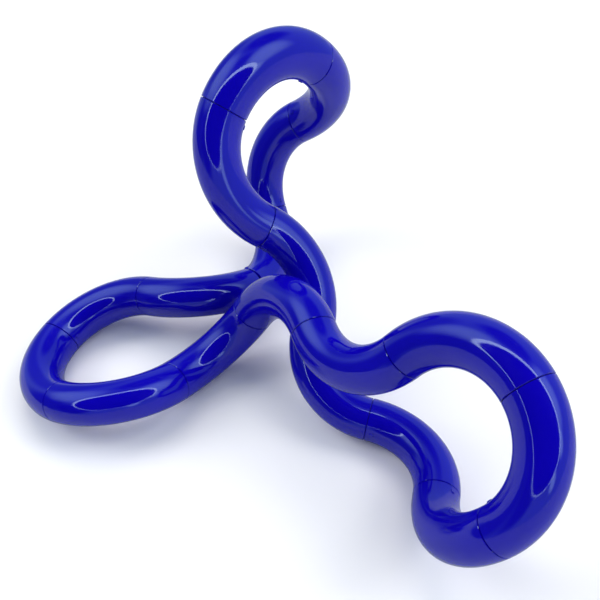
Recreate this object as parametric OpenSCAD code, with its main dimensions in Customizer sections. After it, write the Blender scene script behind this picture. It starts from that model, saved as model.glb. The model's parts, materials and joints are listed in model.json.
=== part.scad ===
// Twisty loop puzzle: eighteen quarter-turn tube links, snapped end to end in one closed loop.
// Every seam turns about the tube's own axis. The loop stands on three of its links, on z = 0.
// Millimetres, +Z up, origin at the middle of the footprint.

/* [Tube] */
// Outside diameter of the tube
tube_d = 10; // [9:0.5:12]
// Radius of each link's quarter bend, at the tube's axis
bend_r = 18; // [17:0.5:20]
// Wall thickness of the hollow link
wall_t = 1.2; // [1:0.1:1.5]
// Gap between two neighbouring links' end faces
seam_gap = 0.12; // [0.1:0.02:0.2]
// Gap at the seam between the first and the last link, where the chain can be opened
open_gap = 0.8; // [0.8:0.1:1.2]
// Width of the broken edge around each end face
edge_break = 0.12; // [0.05:0.01:0.2]

/* [Snap joint] */
// Diameter of the socket's bore
bore_d = 6; // [5.8:0.1:6.2]
// Radial clearance of the snap peg in the bore
peg_clearance = 0.05; // [0.03:0.01:0.1]
// Thickness of the socket's land, which the peg's barb snaps behind
land_t = 1.6; // [1.4:0.1:1.8]
// How far the barb stands out past the stem
barb_out = 0.3; // [0.2:0.05:0.35]
// Length of the barb
barb_l = 1.7; // [1.5:0.1:1.8]
// Width of the two slots that split the peg into four fingers
slot_w = 0.9; // [0.7:0.1:1.2]

/* [Turn at each seam, in degrees: 0 carries on round the same circle, 180 makes an S] */
// Turn at the seam between link 1 and link 2
turn_01 = 151; // [148:1:154]
// Turn at the seam between link 2 and link 3
turn_02 = 0; // [-3:1:3]
// Turn at the seam between link 3 and link 4
turn_03 = -25; // [-28:1:-22]
// Turn at the seam between link 4 and link 5
turn_04 = 136; // [133:1:139]
// Turn at the seam between link 5 and link 6
turn_05 = 60; // [57:1:63]
// Turn at the seam between link 6 and link 7
turn_06 = 171; // [168:1:174]
// Turn at the seam between link 7 and link 8
turn_07 = -172; // [-175:1:-169]
// Turn at the seam between link 8 and link 9
turn_08 = 2; // [-1:1:5]
// Turn at the seam between link 9 and link 10
turn_09 = 47; // [44:1:50]
// Turn at the seam between link 10 and link 11
turn_10 = -121; // [-124:1:-118]
// Turn at the seam between link 11 and link 12
turn_11 = 142; // [139:1:145]
// Turn at the seam between link 12 and link 13
turn_12 = -146; // [-149:1:-143]
// Turn at the seam between link 13 and link 14
turn_13 = 151; // [148:1:154]
// Turn at the seam between link 14 and link 15
turn_14 = 30; // [27:1:33]
// Turn at the seam between link 15 and link 16
turn_15 = 51; // [48:1:54]
// Turn at the seam between link 16 and link 17
turn_16 = -112; // [-115:1:-109]
// Turn at the seam between link 17 and link 18
turn_17 = 92; // [89:1:95]
// Turn at the seam between link 18 and link 1
turn_18 = 72; // [69:1:75]

/* [Standing] */
// Turn of the whole loop on the table, in degrees
heading = -124; // [-180:1:180]

/* [Hidden] */
$fn = 96;

turns = [turn_01, turn_02, turn_03, turn_04, turn_05, turn_06,
         turn_07, turn_08, turn_09, turn_10, turn_11, turn_12,
         turn_13, turn_14, turn_15, turn_16, turn_17, turn_18];
links = len(turns);
feet = [3, 11, 18];             // the three links that the loop stands on
rough_up = [0.4, -0.3, -0.9];   // roughly upward, in the first link's own axes

tube_r = tube_d / 2;
cavity_r = tube_r - wall_t;
bore_r = bore_d / 2;
stem_r = bore_r - peg_clearance;
barb_r = stem_r + barb_out;
stem_in_r = stem_r - 1.05;      // the peg is hollow, so that its fingers can bend
land_end = seam_gap / 2 + land_t;
barb_start = land_end + 0.06;   // end play of a snapped joint
barb_end = barb_start + barb_l;
relief_r = barb_r + 0.45;
relief_end = barb_end + 0.5;
lead_in = 0.3;                  // chamfer at the socket's mouth
bulkhead_t = 1.4;               // end wall that carries the peg
gate_r = 0.65;                  // moulding gate mark on the inside of the bend
gate_proud = 0.2;
gate_back = 2;                  // from the seam back to the mark's centre
far = 1;                        // how far a cutting tool stands clear

// The chain as frames [point, tangent, direction that the next link bends towards], one per seam

function total(v, i = 0) = i == len(v) - 1 ? v[i] : v[i] + total(v, i + 1);
function unit(v) = v / norm(v);

// The next seam: once round a quarter bend, then a turn about the tube's axis
function next_frame(f, turn) =
    let (t = f[1], b = f[2])
    [f[0] + bend_r * (t + b), b, sin(turn) * cross(t, b) - cos(turn) * t];

function walk(turns, f, i = 0) =
    i == len(turns) ? [f] : concat([f], walk(turns, next_frame(f, turns[i]), i + 1));

// What is missing between the chain's end and its start: three shifts, three rotations
function miss(a, z) =
    concat((a[0] - z[0]) / bend_r,
           (cross(z[1], a[1]) + cross(z[2], a[2])
            + cross(cross(z[1], z[2]), cross(a[1], a[2]))) / 2);

// Solves m * x = b for a symmetric positive matrix
function solve(m, b) =
    let (n = len(b) - 1)
    n == 0 ? [b[0] / m[0][0]] :
    let (x = solve([for (i = [1 : n]) [for (j = [1 : n]) m[i][j] - m[i][0] * m[0][j] / m[0][0]]],
                   [for (i = [1 : n]) b[i] - m[i][0] * b[0] / m[0][0]]))
    concat((b[0] - total([for (j = [1 : n]) m[0][j] * x[j - 1]])) / m[0][0], x);

// Spreads the smallest correction over all the seams until the loop closes
function close_loop(turns, rounds) =
    rounds == 0 ? turns :
    let (f = walk(turns, [[0, 0, 0], [1, 0, 0], [0, 1, 0]]),
         end = f[links],
         effect = [for (j = [1 : links])
                   concat(cross(f[j][1], end[0] - f[j][0]) / bend_r, f[j][1])],
         y = solve(total([for (e = effect) [for (x = e) x * e]]), miss(f[0], end)))
    close_loop([for (j = [0 : links - 1]) turns[j] + (effect[j] * y) * 180 / PI], rounds - 1);

// A point of a link's centre line, and its lowest point in the direction up
function on_bend(f, a) = f[0] + bend_r * (sin(a) * f[1] + (1 - cos(a)) * f[2]);
function lowest(f, up) = on_bend(f, min(90, max(0, atan2(-up * f[1], up * f[2]))));

// Upward direction when the chain stands on its feet
function settle(frames, up, rounds) =
    rounds == 0 ? up :
    let (p = [for (i = feet) lowest(frames[i - 1], up)],
         n = unit(cross(p[1] - p[0], p[2] - p[0])))
    settle(frames, n * up > 0 ? n : -n, rounds - 1);

loose = walk(close_loop(turns, 6), [[0, 0, 0], [1, 0, 0], [0, 1, 0]]);
up = settle(loose, unit(rough_up), 12);
along = unit([1, 0, 0] - up[0] * up);
ahead = cross(up, along);
table = [cos(heading) * along - sin(heading) * ahead,
         sin(heading) * along + cos(heading) * ahead,
         up];
stood = [for (f = loose) [for (v = f) table * v]];

// Footprint and lowest point of the tube
function reach(way) = max([for (i = [0 : links - 1]) way * lowest(stood[i], -way)]) + tube_r;
origin = [(reach([1, 0, 0]) - reach([-1, 0, 0])) / 2,
          (reach([0, 1, 0]) - reach([0, -1, 0])) / 2,
          -reach([0, 0, -1])];
frames = [for (f = stood) [f[0] - origin, f[1], f[2]]];

// One link lies in the XY plane, bent about Z: its socket is at +X and its peg at +Y

module at_socket() translate([bend_r, 0, 0]) rotate([-90, 0, 0]) children();
module at_peg() translate([0, bend_r, 0]) rotate([0, -90, 0]) children();

module bend(radius, from, to)
    rotate([0, 0, from]) rotate_extrude(angle = to - from) translate([bend_r, 0]) circle(radius);

// Trims an end back by half its gap and breaks its edge; the tube is on the +Z side
module end_trim(gap) {
    translate([0, 0, gap / 2 - far]) cylinder(h = far, r = tube_r + far);
    translate([0, 0, gap / 2 - far]) difference() {
        cylinder(h = 2 * far, r = tube_r + 2 * far);
        translate([0, 0, far]) cylinder(h = 2 * far, r1 = tube_r - edge_break, r2 = tube_r - edge_break + 2 * far);
        translate([0, 0, -far]) cylinder(h = 2 * far + 0.001, r = tube_r - edge_break);
    }
}

module socket_hole() {
    cylinder(h = relief_end, r = bore_r);
    translate([0, 0, land_end]) cylinder(h = relief_end - land_end, r = relief_r);
    cylinder(h = seam_gap / 2 + lead_in, r1 = bore_r + seam_gap / 2 + lead_in, r2 = bore_r);
}

// Hollow inside, from behind the socket's land to the bulkhead
module cavity(open_end) {
    from = asin((land_end + 0.3) / (bend_r - cavity_r));
    to = 90 - asin(((open_end ? open_gap : seam_gap) / 2 + bulkhead_t) / (bend_r - cavity_r));
    bend(cavity_r, from, to);
}

module snap_peg() {
    difference() {
        union() {
            translate([0, 0, -seam_gap]) cylinder(h = seam_gap + barb_start, r = stem_r);
            translate([0, 0, barb_start - 0.001]) cylinder(h = barb_l, r1 = barb_r, r2 = stem_r - 0.3);
        }
        for (a = [0, 90]) rotate([0, 0, a])
            translate([-barb_r - far, -slot_w / 2, seam_gap])
            cube([2 * (barb_r + far), slot_w, barb_end]);
    }
}

module gate_mark()
    rotate([0, 0, 90 - gate_back / bend_r * 180 / PI])
    translate([bend_r - tube_r - gate_proud, 0, 0]) rotate([0, 90, 0])
    cylinder(h = gate_proud + 0.5, r1 = gate_r - 0.15, r2 = gate_r);

module link(open_start = false, open_end = false) {
    color("#1210b0") difference() {
        union() {
            difference() {
                bend(tube_r, 0, 90);
                at_socket() end_trim(open_start ? open_gap : seam_gap);
                at_peg() mirror([0, 0, 1]) end_trim(open_end ? open_gap : seam_gap);
                cavity(open_end);
                at_socket() socket_hole();
            }
            if (!open_end) at_peg() snap_peg();
            gate_mark();
        }
        at_peg() translate([0, 0, -bulkhead_t - 1]) cylinder(h = bulkhead_t + barb_end + 2, r = stem_in_r);
    }
}

// Carries a link from its own plane to its place in the chain
module place(i) {
    f = frames[i - 1];
    n = cross(f[1], f[2]);
    c = f[0] + bend_r * f[2];
    multmatrix([[-f[2][0], f[1][0], n[0], c[0]],
                [-f[2][1], f[1][1], n[1], c[1]],
                [-f[2][2], f[1][2], n[2], c[2]]])
    children();
}

module link_01() place(1) link(open_start = true);
module link_02() place(2) link();
module link_03() place(3) link();
module link_04() place(4) link();
module link_05() place(5) link();
module link_06() place(6) link();
module link_07() place(7) link();
module link_08() place(8) link();
module link_09() place(9) link();
module link_10() place(10) link();
module link_11() place(11) link();
module link_12() place(12) link();
module link_13() place(13) link();
module link_14() place(14) link();
module link_15() place(15) link();
module link_16() place(16) link();
module link_17() place(17) link();
module link_18() place(18) link(open_end = true);

link_01();
link_02();
link_03();
link_04();
link_05();
link_06();
link_07();
link_08();
link_09();
link_10();
link_11();
link_12();
link_13();
link_14();
link_15();
link_16();
link_17();
link_18();
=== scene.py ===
"""A closed loop of eighteen glossy blue tube links, folded into three lobes on a white table."""

import json
import math

import bpy
from mathutils import Matrix, Vector

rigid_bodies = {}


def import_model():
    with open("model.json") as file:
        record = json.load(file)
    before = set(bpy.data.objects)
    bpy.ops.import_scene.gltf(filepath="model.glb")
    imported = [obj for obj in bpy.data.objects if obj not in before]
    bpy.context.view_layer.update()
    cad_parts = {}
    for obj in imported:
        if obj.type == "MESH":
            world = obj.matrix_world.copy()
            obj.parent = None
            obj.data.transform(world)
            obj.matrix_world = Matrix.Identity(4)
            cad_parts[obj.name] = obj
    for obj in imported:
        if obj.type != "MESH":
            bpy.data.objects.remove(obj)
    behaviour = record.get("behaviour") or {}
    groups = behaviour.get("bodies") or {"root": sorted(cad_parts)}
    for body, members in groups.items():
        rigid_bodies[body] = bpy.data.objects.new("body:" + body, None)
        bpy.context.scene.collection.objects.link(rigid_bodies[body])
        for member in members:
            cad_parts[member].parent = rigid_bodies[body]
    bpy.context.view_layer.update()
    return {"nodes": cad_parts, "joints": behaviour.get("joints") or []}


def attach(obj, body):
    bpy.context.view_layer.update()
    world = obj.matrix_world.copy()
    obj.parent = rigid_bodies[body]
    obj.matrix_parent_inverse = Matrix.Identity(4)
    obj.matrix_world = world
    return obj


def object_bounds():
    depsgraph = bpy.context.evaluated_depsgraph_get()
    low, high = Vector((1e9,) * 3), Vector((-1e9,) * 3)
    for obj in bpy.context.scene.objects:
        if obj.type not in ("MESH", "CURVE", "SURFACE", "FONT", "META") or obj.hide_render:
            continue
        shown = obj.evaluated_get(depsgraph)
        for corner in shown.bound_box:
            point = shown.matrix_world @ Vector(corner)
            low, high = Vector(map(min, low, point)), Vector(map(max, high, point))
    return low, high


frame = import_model()

scene = bpy.context.scene
lo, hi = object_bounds()
CENTRE = (lo + hi) / 2
MM = 0.001


# ---- Materials ---------------------------------------------------------------------------------


class Nodes:
    """A material's node tree, with short ways to add and join its nodes."""

    def __init__(self, name):
        self.material = bpy.data.materials.new(name)
        self.material.use_nodes = True
        self.tree = self.material.node_tree
        self.tree.nodes.clear()
        self.shader = self.add("ShaderNodeBsdfPrincipled")
        output = self.add("ShaderNodeOutputMaterial")
        self.join(self.shader.outputs["BSDF"], output.inputs["Surface"])

    def add(self, kind, **settings):
        node = self.tree.nodes.new(kind)
        for name, value in settings.items():
            setattr(node, name, value)
        return node

    def join(self, source, target):
        self.tree.links.new(source, target)

    def noise(self, scale, detail=2.0, roughness=0.5):
        """Noise over the object's own coordinates, in features per metre."""
        place = self.add("ShaderNodeTexCoord")
        noise = self.add("ShaderNodeTexNoise")
        noise.inputs["Scale"].default_value = scale
        noise.inputs["Detail"].default_value = detail
        noise.inputs["Roughness"].default_value = roughness
        self.join(place.outputs["Object"], noise.inputs["Vector"])
        return noise.outputs["Fac"]

    def spread(self, source, low, high):
        """Maps 0.3 to 0.7, where noise mostly lies, to low and high."""
        span = self.add("ShaderNodeMapRange")
        span.inputs["From Min"].default_value = 0.3
        span.inputs["From Max"].default_value = 0.7
        span.inputs["To Min"].default_value = low
        span.inputs["To Max"].default_value = high
        self.join(source, span.inputs["Value"])
        return span.outputs["Result"]


def blue_plastic():
    """Glossy moulded ABS: deep cobalt with faint flow shading and a slight ripple."""
    n = Nodes("blue_plastic")
    tint = n.add("ShaderNodeMix", data_type="RGBA")
    tint.inputs["A"].default_value = (0.0026, 0.0005, 0.345, 1)
    tint.inputs["B"].default_value = (0.0038, 0.0008, 0.390, 1)
    n.join(n.spread(n.noise(90, 3), 0, 1), tint.inputs["Factor"])
    n.join(tint.outputs["Result"], n.shader.inputs["Base Color"])
    n.join(n.spread(n.noise(700, 4), 0.045, 0.085), n.shader.inputs["Roughness"])
    ripple = n.add("ShaderNodeBump")
    ripple.inputs["Strength"].default_value = 0.06
    ripple.inputs["Distance"].default_value = 0.05 * MM
    n.join(n.noise(260, 2, 0.4), ripple.inputs["Height"])
    n.join(ripple.outputs["Normal"], n.shader.inputs["Normal"])
    n.shader.inputs["IOR"].default_value = 1.53
    n.shader.inputs["Specular IOR Level"].default_value = 0.5
    return n.material


plastic = blue_plastic()
for link in frame["nodes"].values():
    for slot in link.material_slots:
        slot.material = plastic

# ---- Seams -------------------------------------------------------------------------------------

BAND_HALF = 0.05 * MM   # half the band's width, inside the 0.12 mm gap between two links
BAND_INNER = 4.10 * MM
BAND_OUTER = 4.62 * MM  # the tube's radius is 5 mm
BAND_STEPS = 64


def matt_painted_seam_shade_plastic():
    """The same blue, left matt by the mould, with its colour darkened as painted shade for the seam
    between two links.
    """
    n = Nodes("blue_matt_painted_seam_shade")
    # Painted shade: about a quarter of the plastic's blue, for the shade inside the seam; the
    # roughness is the real matt finish.
    n.shader.inputs["Base Color"].default_value = (0.0012, 0.0004, 0.085, 1)
    n.shader.inputs["Roughness"].default_value = 0.55
    return n.material


seam_shade_plastic = matt_painted_seam_shade_plastic()


def seam_land(name, place, axis, body):
    """The touching faces inside a seam: a thin band under the skin that keeps light out, coloured
    with the darkened painted seam shade.
    """
    points, faces = [], []
    for along in (-BAND_HALF, BAND_HALF):
        for radius in (BAND_INNER, BAND_OUTER):
            for k in range(BAND_STEPS):
                turn = 2 * math.pi * k / BAND_STEPS
                points.append((radius * math.cos(turn), radius * math.sin(turn), along))
    # rings of points: 0 inner near, 1 outer near, 2 inner far, 3 outer far
    for a, b in ((0, 2), (2, 3), (3, 1), (1, 0)):
        for k in range(BAND_STEPS):
            j = (k + 1) % BAND_STEPS
            faces.append((a * BAND_STEPS + k, a * BAND_STEPS + j,
                          b * BAND_STEPS + j, b * BAND_STEPS + k))
    facing = Vector(axis).normalized().to_track_quat("Z", "Y").to_matrix().to_4x4()
    placed = Matrix.Translation(Vector(place)) @ facing
    shape = bpy.data.meshes.new(name)
    shape.from_pydata([placed @ Vector(point) for point in points], [], faces)
    # The band's colour is painted shade, darker than the plastic, so the seam reads as a dark line.
    shape.materials.append(seam_shade_plastic)
    band = bpy.data.objects.new(name, shape)
    scene.collection.objects.link(band)
    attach(band, body)


for joint in frame["joints"]:
    seam_land(joint["name"] + "_land", joint["pos_m"], joint["axis"], joint["parent"])

# ---- Camera, floor and light -------------------------------------------------------------------

camera_data = bpy.data.cameras.new("camera")
camera = bpy.data.objects.new("camera", camera_data)
scene.collection.objects.link(camera)
scene.camera = camera
camera_data.sensor_fit = "VERTICAL"
camera_data.sensor_height = 36
# The height alone sets this picture. The narrower width makes the checking views, which measure by
# it, stand further back, so that the shifted lens keeps the whole object in them.
camera_data.sensor_width = 29
camera_data.lens = 39.62
camera_data.shift_x = -0.0833
camera_data.shift_y = 0.2
camera_data.clip_start = 0.005
camera_data.clip_end = 10


def aim(obj, place, right, up):
    """Puts an object at place, looking along its -Z, with the given right and up directions."""
    right, up = Vector(right).normalized(), Vector(up).normalized()
    back = right.cross(up)
    turn = Matrix((right, up, back)).transposed()
    obj.matrix_world = Matrix.Translation(place) @ turn.to_4x4()


aim(camera, Vector((25.15, -104.88, 131.15)) * MM,
    right=(0.9995, -0.0085, -0.0306), up=(0.0243, 0.8238, 0.5664))


def floor_material():
    """Matt white board, made greyer in what the gloss mirrors, to match the photo's reflections."""
    n = Nodes("floor")
    n.shader.inputs["Roughness"].default_value = 0.6
    # Painted shade in reflections: glossy rays see the floor at about half its white, standing in
    # for the shade on the floor under the links.
    white_and_mirrored_shade = n.add("ShaderNodeMix", data_type="RGBA")
    white_and_mirrored_shade.inputs["A"].default_value = (0.90, 0.92, 0.93, 1)
    white_and_mirrored_shade.inputs["B"].default_value = (0.44, 0.47, 0.50, 1)
    n.join(n.add("ShaderNodeLightPath").outputs["Is Glossy Ray"], white_and_mirrored_shade.inputs["Factor"])
    n.join(white_and_mirrored_shade.outputs["Result"], n.shader.inputs["Base Color"])
    return n.material


FLOOR_HALF = 6.0
FLOOR_GAP = 0.02 * MM  # below the lowest link, so that the two surfaces don't flicker
board = bpy.data.meshes.new("floor")
corners = [(x * FLOOR_HALF, y * FLOOR_HALF, 0) for x, y in ((-1, -1), (1, -1), (1, 1), (-1, 1))]
board.from_pydata(corners, [], [(0, 1, 2, 3)])
floor = bpy.data.objects.new("floor", board)
board.materials.append(floor_material())
scene.collection.objects.link(floor)
floor.location.z = lo.z - FLOOR_GAP


def sky_light(name, place, spread, strength, colour):
    """A far, wide, soft light from the direction of place, left out of what the gloss mirrors."""
    data = bpy.data.lights.new(name, "SUN")
    data.angle, data.energy, data.color = math.radians(spread), strength, colour
    light = bpy.data.objects.new(name, data)
    scene.collection.objects.link(light)
    light.rotation_mode = "QUATERNION"
    light.rotation_quaternion = Vector(place).normalized().to_track_quat("Z", "Y")
    light.location = CENTRE + Vector(place)
    light.visible_glossy = False


sky_light("top_back", (0.10, 0.42, 0.77), 38, 1.18, (1.0, 0.93, 0.88))
sky_light("top_left", (-0.70, 0.10, 0.59), 28, 0.83, (1.0, 0.94, 0.90))
sky_light("top_right", (0.75, 0.05, 0.67), 25, 0.69, (1.0, 0.94, 0.90))


def emitter(name, colour, strength):
    """A material that only gives light."""
    material = bpy.data.materials.new(name)
    material.use_nodes = True
    tree = material.node_tree
    tree.nodes.clear()
    glow = tree.nodes.new("ShaderNodeEmission")
    glow.inputs["Color"].default_value = (*colour, 1)
    glow.inputs["Strength"].default_value = strength
    output = tree.nodes.new("ShaderNodeOutputMaterial")
    tree.links.new(glow.outputs["Emission"], output.inputs["Surface"])
    return material


def flat_ring(name, centre, inner, outer, material, steps=96):
    """A level disc (inner 0) or ring above the table, seen only in what the gloss mirrors."""
    points, faces = [], []
    for k in range(steps):
        turn = 2 * math.pi * k / steps
        for radius in (inner, outer):
            points.append((centre[0] + radius * math.cos(turn),
                           centre[1] + radius * math.sin(turn), centre[2]))
    for k in range(steps):
        j = (k + 1) % steps
        faces.append((2 * k, 2 * k + 1, 2 * j + 1, 2 * j))
    shape = bpy.data.meshes.new(name)
    shape.from_pydata(points, [], faces)
    shape.materials.append(material)
    ring = bpy.data.objects.new(name, shape)
    scene.collection.objects.link(ring)
    for ray in ("camera", "diffuse", "shadow"):
        setattr(ring, "visible_" + ray, False)


# The viewer leaning over the table: a dark round shape above the camera, rimmed by light.
SHADE_CENTRE = (2 * MM, -250 * MM, 175 * MM)
SHADE_RADIUS = 237 * MM
RIM_RADIUS = 250 * MM
flat_ring("viewer_shade", SHADE_CENTRE, 0.0, SHADE_RADIUS,
          emitter("viewer_shade", (0.0, 0.0, 0.0), 0.0))
flat_ring("viewer_rim", SHADE_CENTRE, SHADE_RADIUS, RIM_RADIUS,
          emitter("viewer_rim", (0.74, 0.94, 1.0), 6.5))

# ---- Room --------------------------------------------------------------------------------------

world = bpy.data.worlds.new("world")
world.use_nodes = True
room = world.node_tree
background = room.nodes["Background"]
heading = room.nodes.new("ShaderNodeTexCoord").outputs["Generated"]


def patch(azimuth, zenith, inner, outer, at_centre, away=1.0):
    """A soft round patch of sky: at_centre inside the inner angle, away beyond the outer one.

    The four angles are in degrees.
    """
    a, z = math.radians(azimuth), math.radians(zenith)
    towards = room.nodes.new("ShaderNodeVectorMath")
    towards.operation = "DOT_PRODUCT"
    towards.inputs[1].default_value = (math.sin(z) * math.cos(a), math.sin(z) * math.sin(a),
                                       math.cos(z))
    room.links.new(heading, towards.inputs[0])
    fade = room.nodes.new("ShaderNodeMapRange")
    fade.interpolation_type = "SMOOTHSTEP"
    fade.inputs["From Min"].default_value = math.cos(math.radians(outer))
    fade.inputs["From Max"].default_value = math.cos(math.radians(inner))
    fade.inputs["To Min"].default_value = away
    fade.inputs["To Max"].default_value = at_centre
    room.links.new(towards.outputs["Value"], fade.inputs["Value"])
    return fade.outputs["Result"]


def combine(operation, first, second):
    """One sum or product of two values, each a number or a socket."""
    node = room.nodes.new("ShaderNodeMath")
    node.operation = operation
    for socket, value in zip(node.inputs, (first, second)):
        if isinstance(value, (int, float)):
            socket.default_value = value
        else:
            room.links.new(value, socket)
    return node.outputs["Value"]


ROOM_LEVEL = 0.44
level = ROOM_LEVEL
for dim in (
    patch(75, 36, 12, 27, 0.12),      # dark ceiling behind
    patch(185, 76, 16, 34, 0.15),     # dark wall low on the left
    patch(225, 70, 14, 26, 0.10),     # and its corner towards the viewer
    patch(125, 72, 8, 24, 0.35),      # and away from the viewer
    patch(0, 0, 4, 16, 0.30),         # straight above
):
    level = combine("MULTIPLY", level, dim)
for lamp in (
    patch(-8, 39, 6, 30, 1.7, 0.0),   # bright window on the right
    patch(165, 40, 5, 30, 1.3, 0.0),  # and a softer one on the left
    patch(326, 60, 3, 13, 2.2, 0.0),  # past the viewer's shoulder
    patch(297, 74, 3, 10, 2.0, 0.0),  # low behind the viewer
):
    level = combine("ADD", level, lamp)
# The gloss mirrors the room bluish, matt surfaces get a little more of it and whiter, and the
# camera sees it plain white.
rays = room.nodes.new("ShaderNodeLightPath").outputs


def choose(matt, mirrored, seen):
    """A colour by what kind of ray asks for it."""
    pick = matt
    for ray, value in (("Is Glossy Ray", mirrored), ("Is Camera Ray", seen)):
        mix = room.nodes.new("ShaderNodeMix")
        mix.data_type = "RGBA"
        for socket, colour in (("A", pick), ("B", value)):
            if isinstance(colour, tuple):
                mix.inputs[socket].default_value = (*colour, 1)
            else:
                room.links.new(colour, mix.inputs[socket])
        room.links.new(rays[ray], mix.inputs["Factor"])
        pick = mix.outputs["Result"]
    return pick


def scaled(factor, colour):
    """level times a colour, as a colour."""
    node = room.nodes.new("ShaderNodeVectorMath")
    node.operation = "SCALE"
    node.inputs[0].default_value = [factor * part for part in colour]
    room.links.new(level, node.inputs["Scale"])
    return node.outputs["Vector"]


glow = choose(matt=scaled(1.06, (0.89, 0.95, 1.05)),
              mirrored=scaled(1.0, (0.66, 0.95, 1.12)),
              seen=(1.0, 1.0, 1.0))
room.links.new(glow, background.inputs["Color"])
scene.world = world
scene.view_settings.view_transform = "Standard"
